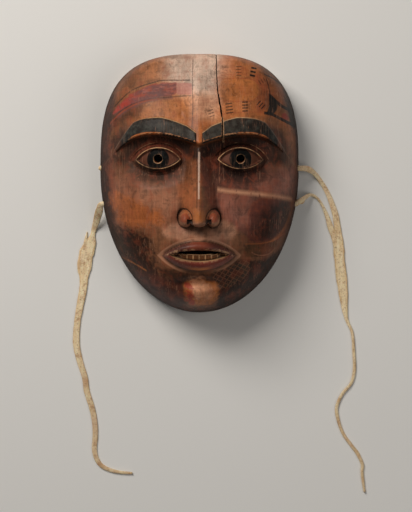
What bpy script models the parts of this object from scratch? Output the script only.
"""A carved wooden face mask with two split hide ties, lying on its flat back rim with its face up.

Metres, +Z up. The origin is on the floor under the middle of the wood. +X is to the right of
someone who looks down at the face, and +Y runs from the chin to the forehead.
The mask is one carved piece, and each tie is one strip of hide that is split into two legs.
"""

import math

import bmesh
import bpy
import numpy as np
from mathutils import Vector

# The wood as a whole.
MASK_HEIGHT = 0.245
MASK_WIDTH = 0.190
DOME_DEPTH = 0.084
SIDE_WALL = 0.0095
FRONT_WALL = 0.0175

# The outline: a superellipse above the widest level and a rounder one below it.
WIDEST_SHARE = 0.55
FOREHEAD_ROUND = 3.0
JAW_ROUND = 2.0

# The way down from the middle to the rim: at the sides and at the chin the exponents of a
# superellipse, inward and upward, and at the forehead a slope to a fairly sharp edge, with how
# high that edge is as a share of the depth.
SIDE_PROFILE = (2.15, 2.35)
CHIN_PROFILE = (2.9, 3.0)
FOREHEAD_SLOPE = 2.3
FOREHEAD_EDGE = 0.60
EDGE_SHARPNESS = 60

# The canon of the face. It is five eyes wide and three equal thirds high, from the hairline
# to the brow, to the base of the nose, to the chin. The lips part a third of the way down the
# lowest third, and the eyes lie a quarter of a third under the brow.
EYE = MASK_WIDTH / 5
THIRD = MASK_HEIGHT / 3
CHIN_Y = -MASK_HEIGHT / 2
BROW_Y = CHIN_Y + 2 * THIRD
EYE_Y = BROW_Y - THIRD / 4
NOSE_Y = CHIN_Y + THIRD
LIPS_Y = NOSE_Y - THIRD / 3
CREASE_Y = NOSE_Y - 2 * THIRD / 3

# How far the nose leans towards the chin, as a share of its rise.
NOSE_LEAN = 0.16

# Holes through the wood.
PUPIL_RADIUS = 0.0042
PUPIL_TILT = math.radians(8)
TIE_HOLE_RADIUS = 0.0030
TIE_HOLE_RISE = 0.0175
UPPER_TIE_Y = 0.0150
LOWER_TIE_Y = -0.0190
MOUTH_SLIT_HEIGHT = 0.0030
MOUTH_SLIT_WIDTH = 0.0400
TOOTH_WIDTH = 0.0056
NOSTRIL_RADIUS = 0.0033
NOSTRIL_DEPTH = 0.0085

# The drying crack in the forehead, from the top edge down into the brow: how far right it is,
# how far above the middle, and its width there.
CRACK_ROUTE = (
    (0.0158, 0.1300, 0.0010),
    (0.0158, 0.1080, 0.0011),
    (0.0164, 0.0930, 0.0012),
    (0.0175, 0.0800, 0.0014),
    (0.0194, 0.0690, 0.0015),
    (0.0209, 0.0590, 0.0013),
    (0.0215, 0.0480, 0.0010),
    (0.0208, 0.0330, 0.0006),
)
CRACK_DEPTH = 0.0075

# The hide ties. Each route starts at the mouth of its hole: how far out from the wood, how far
# towards the forehead, how far above lying flat on the floor, and how wide the strip is there.
HIDE_THICKNESS = 0.0017
FLOOR_GAP = 0.0003
HOLE_CLEARANCE = 0.0005
KNOT_WIDTH = 0.0100
KNOT_LENGTH = 0.0080
TIE_STEP = 0.0085
RIGHT_TIE = (
    (0.0093, -0.0007, 0.0120, 0.0066),
    (0.0167, -0.0049, 0.0042, 0.0060),
    (0.0241, -0.0144, 0.0000, 0.0050),
    (0.0294, -0.0239, 0.0000, 0.0048),
    (0.0336, -0.0345, 0.0000, 0.0050),
    (0.0368, -0.0451, 0.0000, 0.0056),
    (0.0390, -0.0599, 0.0000, 0.0068),
    (0.0385, -0.0747, 0.0000, 0.0098),
    (0.0394, -0.0895, 0.0000, 0.0090),
    (0.0410, -0.1022, 0.0000, 0.0096),
    (0.0431, -0.1191, 0.0000, 0.0096),
    (0.0452, -0.1318, 0.0000, 0.0076),
    (0.0473, -0.1444, 0.0000, 0.0040),
    (0.0526, -0.1571, 0.0000, 0.0036),
    (0.0541, -0.1740, 0.0000, 0.0038),
    (0.0547, -0.1931, 0.0000, 0.0040),
    (0.0516, -0.2058, 0.0000, 0.0038),
    (0.0431, -0.2163, 0.0000, 0.0038),
    (0.0378, -0.2290, 0.0000, 0.0040),
    (0.0394, -0.2417, 0.0000, 0.0040),
    (0.0442, -0.2544, 0.0000, 0.0040),
    (0.0516, -0.2650, 0.0000, 0.0044),
    (0.0579, -0.2734, 0.0000, 0.0046),
    (0.0625, -0.2840, 0.0000, 0.0040),
    (0.0621, -0.2903, 0.0000, 0.0036),
    (0.0632, -0.3009, 0.0000, 0.0034),
    (0.0647, -0.3105, 0.0000, 0.0024),
)
RIGHT_LOWER_LEG = (
    (0.0073, 0.0048, 0.0120, 0.0048),
    (0.0147, 0.0090, 0.0036, 0.0050),
    (0.0210, 0.0065, 0.0000, 0.0048),
    (0.0263, -0.0005, 0.0000, 0.0046),
    (0.0310, -0.0111, 0.0000, 0.0046),
    (0.0347, -0.0227, 0.0000, 0.0044),
    (0.0379, -0.0315, 0.0000, 0.0044),
    (0.0399, -0.0420, 0.0000, 0.0044),
)
LEFT_TIE = (
    (0.0036, -0.0010, 0.0150, 0.0048),
    (0.0066, -0.0085, 0.0095, 0.0060),
    (0.0086, -0.0190, 0.0028, 0.0052),
    (0.0102, -0.0285, 0.0000, 0.0042),
    (0.0116, -0.0362, 0.0000, 0.0070),
    (0.0158, -0.0435, 0.0000, 0.0126),
    (0.0176, -0.0510, 0.0000, 0.0136),
    (0.0182, -0.0593, 0.0000, 0.0130),
    (0.0195, -0.0699, 0.0000, 0.0084),
    (0.0203, -0.0805, 0.0000, 0.0064),
    (0.0230, -0.0949, 0.0000, 0.0060),
    (0.0260, -0.1126, 0.0000, 0.0060),
    (0.0271, -0.1303, 0.0000, 0.0063),
    (0.0260, -0.1410, 0.0000, 0.0062),
    (0.0222, -0.1552, 0.0000, 0.0058),
    (0.0189, -0.1658, 0.0000, 0.0056),
    (0.0168, -0.1800, 0.0000, 0.0056),
    (0.0123, -0.1943, 0.0000, 0.0054),
    (0.0094, -0.2085, 0.0000, 0.0052),
    (0.0088, -0.2227, 0.0000, 0.0050),
    (0.0096, -0.2340, 0.0000, 0.0048),
    (0.0080, -0.2430, 0.0000, 0.0046),
    (0.0035, -0.2502, 0.0000, 0.0042),
    (-0.0045, -0.2547, 0.0000, 0.0036),
    (-0.0151, -0.2573, 0.0000, 0.0030),
    (-0.0268, -0.2582, 0.0000, 0.0022),
)
TORN_STUB = (
    (0.0190, -0.0460, 0.0000, 0.0052),
    (0.0182, -0.0380, 0.0000, 0.0050),
    (0.0172, -0.0300, 0.0000, 0.0040),
    (0.0166, -0.0272, 0.0000, 0.0016),
)
REMNANT_REACH = 0.0016
STUB_THINNING = 0.9

# How finely the forms are made.
SKIN_COLUMNS = 210
SKIN_ROWS = 250
SKIN_TRIANGLES = 5900
HOLLOW_COLUMNS = 18
HOLLOW_ROWS = 22
PROFILE_SAMPLES = 400

WOOD_COLOUR = (0.20, 0.085, 0.040)
HIDE_COLOUR = (0.56, 0.44, 0.24)


def smooth(t):
    """An S-curve from 0 at t = 0 to 1 at t = 1, level at both ends."""
    t = np.clip(t, 0, 1)
    return t * t * (3 - 2 * t)


def mound(x, y, at, reach):
    """A smooth round hill, 1 at its middle and 0 where the ellipse of that reach ends."""
    far = ((x - at[0]) / reach[0]) ** 2 + ((y - at[1]) / reach[1]) ** 2
    return np.clip(1 - far, 0, 1) ** 2


def almond(x, y, at, half_width, up, down):
    """How far a point is outside an almond, the overlap of a low and a high circle."""
    dx, dy = x - at[0], y - at[1]
    far = []
    for side, height in ((1, up), (-1, down)):
        radius = (half_width**2 + height**2) / (2 * height)
        far.append(np.hypot(dx, dy - side * (height - radius)) - radius)
    return np.maximum(*far)


def paced(out, up):
    """A profile from the top out to the rim, with how far along it each of its points is."""
    along = np.concatenate([[0], np.cumsum(np.hypot(np.diff(out), np.diff(up)))])
    return along / along[-1], out, up


def rounded_profile(inward, upward):
    """A quarter of a superellipse with those two exponents."""
    turn = np.linspace(0, math.pi / 2, PROFILE_SAMPLES)
    up = np.cos(turn) ** (2 / upward)
    up[-1] = 0
    return paced(np.sin(turn) ** (2 / inward), up)


def forehead_profile():
    """A slope that ends in a fairly sharp edge, with an upright wall below it."""
    out = 1 - (1 - np.linspace(0, 1, PROFILE_SAMPLES)) ** 3
    slope = 1 - (1 - FOREHEAD_EDGE) * out**FOREHEAD_SLOPE
    return paced(out, slope * (1 - out**EDGE_SHARPNESS) ** (1 / 3))


def dome(u, v, width, height, depth):
    """The plain form under the carving, for u and v from -1 to 1.

    The square is mapped to a disc. Its spokes follow the outline, and the way up each spoke
    is a blend of the profiles of the side, the forehead and the chin.
    """
    disc_x, disc_y = u * np.sqrt(1 - v * v / 2), v * np.sqrt(1 - u * u / 2)
    share, angle = np.hypot(disc_x, disc_y), np.arctan2(disc_y, disc_x)
    across, along = np.abs(np.cos(angle)), np.sin(angle)
    widest = (WIDEST_SHARE - 0.5) * height
    upper = (across * 2 / width) ** FOREHEAD_ROUND
    upper += (np.abs(along) / (height / 2 - widest)) ** FOREHEAD_ROUND
    lower = (across * 2 / width) ** JAW_ROUND
    lower += (np.abs(along) / (height / 2 + widest)) ** JAW_ROUND
    spoke = np.where(along > 0, upper ** (-1 / FOREHEAD_ROUND), lower ** (-1 / JAW_ROUND))
    profiles = {
        "side": (across**2, rounded_profile(*SIDE_PROFILE)),
        "forehead": (np.clip(along, 0, 1) ** 2, forehead_profile()),
        "chin": (np.clip(-along, 0, 1) ** 2, rounded_profile(*CHIN_PROFILE)),
    }
    out = sum(w * np.interp(share, s, r) for w, (s, r, _) in profiles.values())
    up = sum(w * np.interp(share, s, z) for w, (s, _, z) in profiles.values())
    return spoke * out * np.cos(angle), widest + spoke * out * along, depth * up


def round_max(one, other, blend):
    """The larger of two heights, with the crease between them rounded by that much."""
    return (one + other + np.sqrt((one - other) ** 2 + blend**2)) / 2


def brow_line(x):
    """The brow band's lower edge: low by the nose, arched over the eye, then down to its tail."""
    side = np.abs(x) / EYE
    arch = 0.24 * np.sin(np.clip(side, 0, 2.4) * 1.35) - 0.42 * np.clip(side - 1.30, 0, 2) ** 2
    return BROW_Y + (arch - 0.20) * EYE


def brow_depth(x):
    """How deep the brow band is from its lower to its upper edge, narrow at both ends."""
    side = np.abs(x) / EYE
    return EYE * np.interp(side, (0.06, 0.30, 0.90, 1.60, 2.15), (0.26, 0.36, 0.44, 0.40, 0.06))


def carved_brow(side, y):
    """The ridge, which breaks off over the socket, and the flat band that stands on it."""
    over = y - brow_line(side)
    tail = 1 - smooth((side - 1.75 * EYE) / (0.55 * EYE))
    ridge = tail * smooth(over / (0.10 * EYE) + 0.5) * (1 - smooth(over / (1.4 * EYE)))
    in_band = np.minimum(over, brow_depth(side) - over)
    in_band = np.minimum(in_band, side - 0.07 * EYE)
    return 0.15 * EYE * ridge + 0.065 * EYE * smooth(in_band / (0.07 * EYE))


def carved_eye(side, y):
    """The socket under the brow, the ball in it and the raised rims of the lids."""
    socket = mound(side, y, (1.02 * EYE, EYE_Y + 0.05 * EYE), (1.02 * EYE, 0.82 * EYE)) ** 0.75
    corner = mound(side, y, (0.45 * EYE, EYE_Y + 0.24 * EYE), (0.46 * EYE, 0.52 * EYE))
    below = 1 - smooth((y - brow_line(side)) / (0.10 * EYE) + 0.5)
    sunk = below * (0.25 * EYE * socket + 0.11 * EYE * corner)
    off = ((side - EYE) / (0.58 * EYE)) ** 2 + ((y - EYE_Y) / (0.38 * EYE)) ** 2
    ball = 0.27 * EYE * np.clip(1 - off, 0, 1) ** 0.80
    lid = almond(side, y, (EYE, EYE_Y), 0.50 * EYE, 0.245 * EYE, 0.20 * EYE)
    rim = 0.050 * EYE * np.exp(-(((lid - 0.035 * EYE) / (0.036 * EYE)) ** 2))
    within = 0.040 * EYE * smooth(-lid / (0.04 * EYE))
    fold = 0.030 * EYE * np.exp(-(((lid - 0.13 * EYE) / (0.035 * EYE)) ** 2))
    return ball - sunk + rim - within - fold


def carved_nose(side, y):
    """A sharp ridge that climbs to the tip, with plain flanks and a wing on each side."""
    down = np.clip((BROW_Y + 0.05 * EYE - y) / (BROW_Y - NOSE_Y), 0, 2)
    height = EYE * np.interp(down, (0, 0.16, 0.50, 0.84, 0.96), (0.10, 0.15, 0.42, 0.70, 0.66))
    half = EYE * np.interp(down, (0, 0.16, 0.50, 0.80, 0.96), (0.24, 0.22, 0.31, 0.40, 0.40))
    crest = 0.05 * EYE
    flank = np.clip(1 - (np.hypot(side, crest) - crest) / half, 0, 1)
    under = 1 - smooth((down - 0.91) / 0.11)
    body = height * flank**1.08 * under
    tip = np.hypot(side / (0.25 * EYE), (y - NOSE_Y - 0.17 * EYE) / (0.19 * EYE))
    tip = 0.66 * EYE * np.clip(1 - tip**2, 0, 1) ** 0.5
    at_x, at_y = 0.335 * EYE, NOSE_Y + 0.19 * EYE
    off = np.hypot((side - at_x) / (0.175 * EYE), (y - at_y) / (0.225 * EYE))
    wing = 0.43 * EYE * np.clip(1 - off**2, 0, 1) ** 0.5
    groove = np.exp(-(((off - 1.04) / 0.15) ** 2)) * smooth((y - at_y) / (0.10 * EYE) + 1)
    nose = round_max(round_max(body, wing, 0.03 * EYE), tip, 0.05 * EYE)
    rest = round_max(round_max(0, 0, 0.03 * EYE), 0, 0.05 * EYE)
    return np.clip(nose - rest, 0, None) - 0.045 * EYE * groove


def carved_cheek(side, y):
    """The cheekbone and the hollow under it."""
    bone = mound(side, y, (1.45 * EYE, EYE_Y - 0.85 * EYE), (0.85 * EYE, 0.70 * EYE))
    hollow = mound(side, y, (1.35 * EYE, LIPS_Y + 0.05 * EYE), (0.60 * EYE, 0.95 * EYE))
    return 0.13 * EYE * bone - 0.06 * EYE * hollow


def carved_mouth(side, y):
    """The muzzle, the rolled lips round an opening, and a low row of teeth in it."""
    muzzle = 0.19 * EYE * mound(side, y, (0, LIPS_Y + 0.10 * EYE), (1.25 * EYE, 0.95 * EYE))
    lip_top = LIPS_Y + 0.34 * EYE
    between = smooth((y - lip_top) / (0.1 * EYE)) * (1 - smooth((y - NOSE_Y) / (0.1 * EYE)))
    groove = 0.035 * EYE * between * np.exp(-((side / (0.09 * EYE)) ** 2))
    outer = almond(side, y, (0, LIPS_Y), 0.88 * EYE, 0.33 * EYE, 0.37 * EYE)
    inner = almond(side, y, (0, LIPS_Y), 0.66 * EYE, 0.110 * EYE, 0.135 * EYE)
    band = np.clip(-outer / np.maximum(inner - outer, 1e-9), 0, 1)
    lips = 0.15 * EYE * np.sin(math.pi * band * 0.80) ** 0.60 * (outer < 0)
    ring = 0.022 * EYE * np.exp(-(((outer - 0.05 * EYE) / (0.035 * EYE)) ** 2))
    opening = 0.20 * EYE * smooth(-inner / (0.05 * EYE) + 0.4)
    tooth = np.abs(np.sin(math.pi * side / TOOTH_WIDTH)) ** 0.35
    low = 1 - smooth((y - LIPS_Y - 0.035 * EYE) / (0.03 * EYE))
    teeth = 0.10 * EYE * smooth(-inner / (0.05 * EYE)) * low * (0.72 + 0.28 * tooth)
    return muzzle - groove + lips - ring - opening + teeth


def carved_chin(side, y):
    """The crease under the lower lip and the boss of the chin."""
    crease = mound(side, y, (0, CREASE_Y + 0.03 * EYE), (0.85 * EYE, 0.20 * EYE))
    boss = mound(side, y, (0, CREASE_Y - 0.30 * EYE), (0.80 * EYE, 0.48 * EYE))
    return 0.17 * EYE * boss - 0.09 * EYE * crease


def carved(x, y, z):
    """The dome's points with the face carved on them. The nose leans down as it rises."""
    side = np.abs(x)
    nose = carved_nose(side, y)
    rise = carved_brow(side, y) + carved_eye(side, y) + nose + carved_cheek(side, y)
    rise += carved_mouth(side, y) + carved_chin(side, y)
    return x, y - NOSE_LEAN * np.clip(nose, 0, None), z + rise


def grid(columns, rows, place):
    """A mesh grid whose points, from -1 to 1 both ways, are moved by place(u, v)."""
    made = bmesh.new()
    bmesh.ops.create_grid(made, x_segments=columns, y_segments=rows, size=1)
    flat = np.array([vertex.co for vertex in made.verts])
    points = np.stack(place(flat[:, 0], flat[:, 1]), axis=1)
    for vertex, point in zip(made.verts, points):
        vertex.co = point
    return made


def closed_below(made, floor):
    """Lays the grid's edge flat at that height and closes it with one face."""
    edge = [e for e in made.edges if e.is_boundary]
    for vertex in {v for e in edge for v in e.verts}:
        vertex.co.z = floor
    bmesh.ops.contextual_create(made, geom=edge)
    bmesh.ops.recalc_face_normals(made, faces=made.faces)
    return made


def gathered(t):
    """Grid lines from -1 to 1, closer together in the middle, where the face is carved."""
    return 0.62 * t + 0.38 * t**3


def material(name, colour, roughness):
    """A plain surface of one colour."""
    made = bpy.data.materials.new(name)
    made.use_nodes = True
    shader = made.node_tree.nodes["Principled BSDF"]
    shader.inputs["Base Color"].default_value = (*colour, 1)
    shader.inputs["Roughness"].default_value = roughness
    return made


def add(name, made, home, finish=None):
    """A new object in a collection, from a bmesh or a mesh."""
    mesh = made
    if isinstance(made, bmesh.types.BMesh):
        mesh = bpy.data.meshes.new(name)
        made.to_mesh(mesh)
        made.free()
    thing = bpy.data.objects.new(name, mesh)
    if finish:
        mesh.materials.append(finish)
    home.objects.link(thing)
    return thing


def as_helper(thing):
    """Keeps a cutter or a guide out of the model."""
    thing.hide_render = True
    thing.display_type = "WIRE"
    return thing


def combine(thing, other, operation):
    """Adds a Boolean with the exact solver."""
    modifier = thing.modifiers.new(other.name, "BOOLEAN")
    modifier.operation = operation
    modifier.object = other


def carved_skin(helpers):
    """The front of the mask as a fine open skin, thinned to the triangles that its form needs."""

    def place(u, v):
        return carved(*dome(gathered(u), gathered(v), MASK_WIDTH, MASK_HEIGHT, DOME_DEPTH))

    skin = as_helper(add("carved_skin", grid(SKIN_COLUMNS, SKIN_ROWS, place), helpers))
    thin = skin.modifiers.new("thin", "DECIMATE")
    thin.ratio = SKIN_TRIANGLES / (2 * SKIN_COLUMNS * SKIN_ROWS)
    bpy.context.view_layer.update()
    evaluated = skin.evaluated_get(bpy.context.evaluated_depsgraph_get())
    thinned = bmesh.new()
    thinned.from_mesh(bpy.data.meshes.new_from_object(evaluated))
    return closed_below(thinned, 0)


def hollow_point(u, v):
    """The back of the wood: a smaller dome, let in behind the nose."""
    x, y, z = dome(u, v, MASK_WIDTH - 2 * SIDE_WALL, MASK_HEIGHT - 2 * SIDE_WALL, DOME_DEPTH - FRONT_WALL)
    side = np.abs(x)
    z = z + 0.26 * EYE * mound(side, y, (0, NOSE_Y + 0.4 * EYE), (0.50 * EYE, 1.1 * EYE))
    return x, y, z


def hollow_cutter(helpers):
    """The space behind the face, running on below the rim."""
    made = grid(HOLLOW_COLUMNS, HOLLOW_ROWS, hollow_point)
    edge = [e for e in made.edges if e.is_boundary]
    skirt = bmesh.ops.extrude_edge_only(made, edges=edge)["geom"]
    low = [item for item in skirt if isinstance(item, bmesh.types.BMVert)]
    bmesh.ops.translate(made, verts=low, vec=(0, 0, -SIDE_WALL))
    return as_helper(add("hollow_cutter", closed_below(made, -SIDE_WALL), helpers))


def rod_cutter(name, start, end, radius, helpers, sides=16, stretch=1.0):
    """A round or oval bar from one point to another, to drill with."""
    start, end = Vector(start), Vector(end)
    made = bmesh.new()
    bmesh.ops.create_cone(
        made,
        cap_ends=True,
        segments=sides,
        radius1=radius,
        radius2=radius,
        depth=(end - start).length,
    )
    bmesh.ops.scale(made, verts=made.verts, vec=(stretch, 1, 1))
    bar = as_helper(add(name, made, helpers))
    bar.location = (start + end) / 2
    bar.rotation_mode = "QUATERNION"
    bar.rotation_quaternion = (end - start).to_track_quat("Z", "Y")
    return bar


def skin_height(x, y):
    """How high the plain dome is over a point of the floor, found on a fine grid of it."""
    lines = gathered(np.linspace(-1, 1, SKIN_ROWS))
    u, v = np.meshgrid(lines, lines)
    grid_x, grid_y, grid_z = dome(u, v, MASK_WIDTH, MASK_HEIGHT, DOME_DEPTH)
    nearest = np.argmin(np.hypot(grid_x - x, grid_y - y))
    return float(grid_z.flat[nearest])


def crack_cutter(helpers):
    """A wedge along the crack, sharp at the bottom, that follows the forehead's height."""
    made = bmesh.new()
    above = 0.5 * EYE
    rings = []
    for x, y, width in CRACK_ROUTE:
        top = skin_height(x, y)
        spread = width / 2 * (CRACK_DEPTH + above) / CRACK_DEPTH
        corners = ((x - spread, y, top + above), (x + spread, y, top + above), (x, y, top - CRACK_DEPTH))
        rings.append([made.verts.new(corner) for corner in corners])
    loft(made, rings)
    return as_helper(add("crack_cutter", made, helpers))


def loft(made, rings):
    """Skins a row of rings of the same number of corners, and caps both ends."""
    count = len(rings[0])
    for ring, after in zip(rings, rings[1:]):
        for i in range(count):
            j = (i + 1) % count
            made.faces.new((ring[i], ring[j], after[j], after[i]))
    made.faces.new(rings[0])
    made.faces.new(rings[-1])
    bmesh.ops.recalc_face_normals(made, faces=made.faces)


def wall_x(y, rise, inset=0.0):
    """How far out the side is at that place and height, for the dome or for one let in."""
    lines = np.linspace(-1, 1, SKIN_ROWS)
    u, v = np.meshgrid(lines[SKIN_ROWS // 2 :], lines)
    deep = DOME_DEPTH - inset * FRONT_WALL / SIDE_WALL
    x, grid_y, z = dome(u, v, MASK_WIDTH - 2 * inset, MASK_HEIGHT - 2 * inset, deep)
    return float(x.flat[np.argmin(np.hypot(grid_y - y, z - rise))])


def carve_mask(home, helpers, wood):
    """The whole mask: skin, hollow and holes."""
    mask = add("mask", carved_skin(helpers), home, wood)
    combine(mask, hollow_cutter(helpers), "DIFFERENCE")
    reach = DOME_DEPTH + EYE
    for side, word in ((-1, "left"), (1, "right")):
        at = Vector((side * EYE, EYE_Y, skin_height(EYE, EYE_Y)))
        along = Vector((0, -math.sin(PUPIL_TILT), math.cos(PUPIL_TILT))) * EYE
        pupil = rod_cutter(f"{word}_pupil_cutter", at - along, at + along, PUPIL_RADIUS, helpers)
        combine(mask, pupil, "DIFFERENCE")
        for y, level in ((UPPER_TIE_Y, "upper"), (LOWER_TIE_Y, "lower")):
            wall = wall_x(y, TIE_HOLE_RISE)
            hole = rod_cutter(
                f"{word}_{level}_tie_cutter",
                (side * (wall - 2.5 * SIDE_WALL), y, TIE_HOLE_RISE),
                (side * (wall + 2.5 * SIDE_WALL), y, TIE_HOLE_RISE),
                TIE_HOLE_RADIUS,
                helpers,
                sides=12,
            )
            combine(mask, hole, "DIFFERENCE")
        nostril_z = skin_height(0, NOSE_Y) + 0.38 * EYE
        nostril = rod_cutter(
            f"{word}_nostril_cutter",
            (side * 0.24 * EYE, NOSE_Y - 0.45 * EYE, nostril_z + 0.08 * EYE),
            (side * 0.21 * EYE, NOSE_Y - 0.08 * EYE + NOSTRIL_DEPTH, nostril_z),
            NOSTRIL_RADIUS,
            helpers,
            sides=10,
        )
        combine(mask, nostril, "DIFFERENCE")
    slit = rod_cutter(
        "mouth_cutter",
        (0, LIPS_Y + 0.07 * EYE, 0),
        (0, LIPS_Y + 0.07 * EYE, reach),
        MOUTH_SLIT_HEIGHT / 2,
        helpers,
        stretch=MOUTH_SLIT_WIDTH / MOUTH_SLIT_HEIGHT,
    )
    combine(mask, slit, "DIFFERENCE")
    combine(mask, crack_cutter(helpers), "DIFFERENCE")
    return mask


def smooth_route(points, step):
    """Points about a step apart on a smooth curve through the given ones, which it keeps."""
    points = np.asarray(points)
    ends = 2 * points[[0, -1]] - points[[1, -2]]
    padded = np.vstack([ends[:1], points, ends[1:]])
    out = [points[0]]
    for before, start, end, after in zip(padded, padded[1:], padded[2:], padded[3:]):
        pieces = max(1, round(float(np.linalg.norm((end - start)[:3])) / step))
        for t in np.arange(1, pieces + 1) / pieces:
            pull_in, pull_out = (end - before) / 2, (after - start) / 2
            out.append(
                (2 * t**3 - 3 * t**2 + 1) * start
                + (t**3 - 2 * t**2 + t) * pull_in
                + (3 * t**2 - 2 * t**3) * end
                + (t**3 - t**2) * pull_out
            )
    return np.array(out)


def strip_section(width, thickness):
    """Six corners across a strip. It is flat with eased edges, and rounder as it narrows."""
    flat = max(0.0, 1 - thickness / width)
    out, up = width * (0.25 + 0.13 * flat), thickness * (0.433 + 0.067 * flat)
    return ((width / 2, 0), (out, up), (-out, up), (-width / 2, 0), (-out, -up), (out, -up))


def strip(name, stations, home, finish=None):
    """A closed strip of hide through stations of place, width and thickness."""
    made = bmesh.new()
    rings = []
    ways = np.gradient(stations[:, :3], axis=0)
    for station, way in zip(stations, ways):
        across = Vector((-way[1], way[0], 0)).normalized()
        upward = Vector(way).normalized().cross(across)
        centre = Vector(station[:3])
        corners = [centre + across * a + upward * b for a, b in strip_section(*station[3:])]
        rings.append([made.verts.new(corner) for corner in corners])
    loft(made, rings)
    return add(name, made, home, finish)


def knotted_leg(side, y):
    """The stations of a leg from its knot inside the mask to just outside its hole."""
    narrow = 2 * (TIE_HOLE_RADIUS - HOLE_CLEARANCE)
    mouth = wall_x(y, TIE_HOLE_RISE)
    back = wall_x(y, TIE_HOLE_RISE, SIDE_WALL) - HOLE_CLEARANCE
    knot = [
        (back - KNOT_LENGTH, 0.45 * KNOT_WIDTH),
        (back - 0.75 * KNOT_LENGTH, 0.90 * KNOT_WIDTH),
        (back - 0.45 * KNOT_LENGTH, KNOT_WIDTH),
        (back - 0.15 * KNOT_LENGTH, 0.75 * KNOT_WIDTH),
        (back, narrow),
        (mouth + HOLE_CLEARANCE, narrow),
    ]
    return [(side * x, y, TIE_HOLE_RISE, wide, wide) for x, wide in knot]


def free_route(side, y, route):
    """The stations of a strip outside its hole, from a route measured from the hole's mouth."""
    mouth = wall_x(y, TIE_HOLE_RISE)
    lying = FLOOR_GAP + HIDE_THICKNESS / 2
    return [
        (side * (mouth + out), y + forward, lying + rise, width, HIDE_THICKNESS)
        for out, forward, rise, width in route
    ]


def tie(name, side, y, route, home, finish=None):
    """One leg of hide from its knot to its end."""
    leg = knotted_leg(side, y)
    free = smooth_route(leg[-1:] + free_route(side, y, route), TIE_STEP)
    return strip(name, np.array(leg + list(free[1:])), home, finish)


def make_ties(home, helpers, hide):
    """The right tie on its two legs, the left one on one, and the scrap left of its other leg."""
    right = tie("right_tie", 1, UPPER_TIE_Y, RIGHT_TIE, home, hide)
    lower = tie("right_lower_leg", 1, LOWER_TIE_Y, RIGHT_LOWER_LEG, helpers)
    combine(right, as_helper(lower), "UNION")
    left = tie("left_tie", -1, LOWER_TIE_Y, LEFT_TIE, home, hide)
    stub = smooth_route(free_route(-1, LOWER_TIE_Y, TORN_STUB), TIE_STEP)
    stub[:, 4] *= STUB_THINNING
    combine(left, as_helper(strip("torn_stub", stub, helpers)), "UNION")
    scrap = knotted_leg(-1, UPPER_TIE_Y)
    end = scrap[-1]
    scrap.append((end[0] - REMNANT_REACH, *end[1:3], 0.5 * end[3], 0.5 * end[4]))
    strip("left_tie_remnant", np.array(scrap), home, hide)


def main():
    """Clears the scene and builds the mask and its ties."""
    for thing in list(bpy.data.objects):
        bpy.data.objects.remove(thing)
    home = bpy.data.collections.new("face_mask")
    helpers = bpy.data.collections.new("cutters")
    for collection in (home, helpers):
        bpy.context.scene.collection.children.link(collection)
    carve_mask(home, helpers, material("old_painted_wood", WOOD_COLOUR, 0.5))
    make_ties(home, helpers, material("raw_hide", HIDE_COLOUR, 0.7))


main()
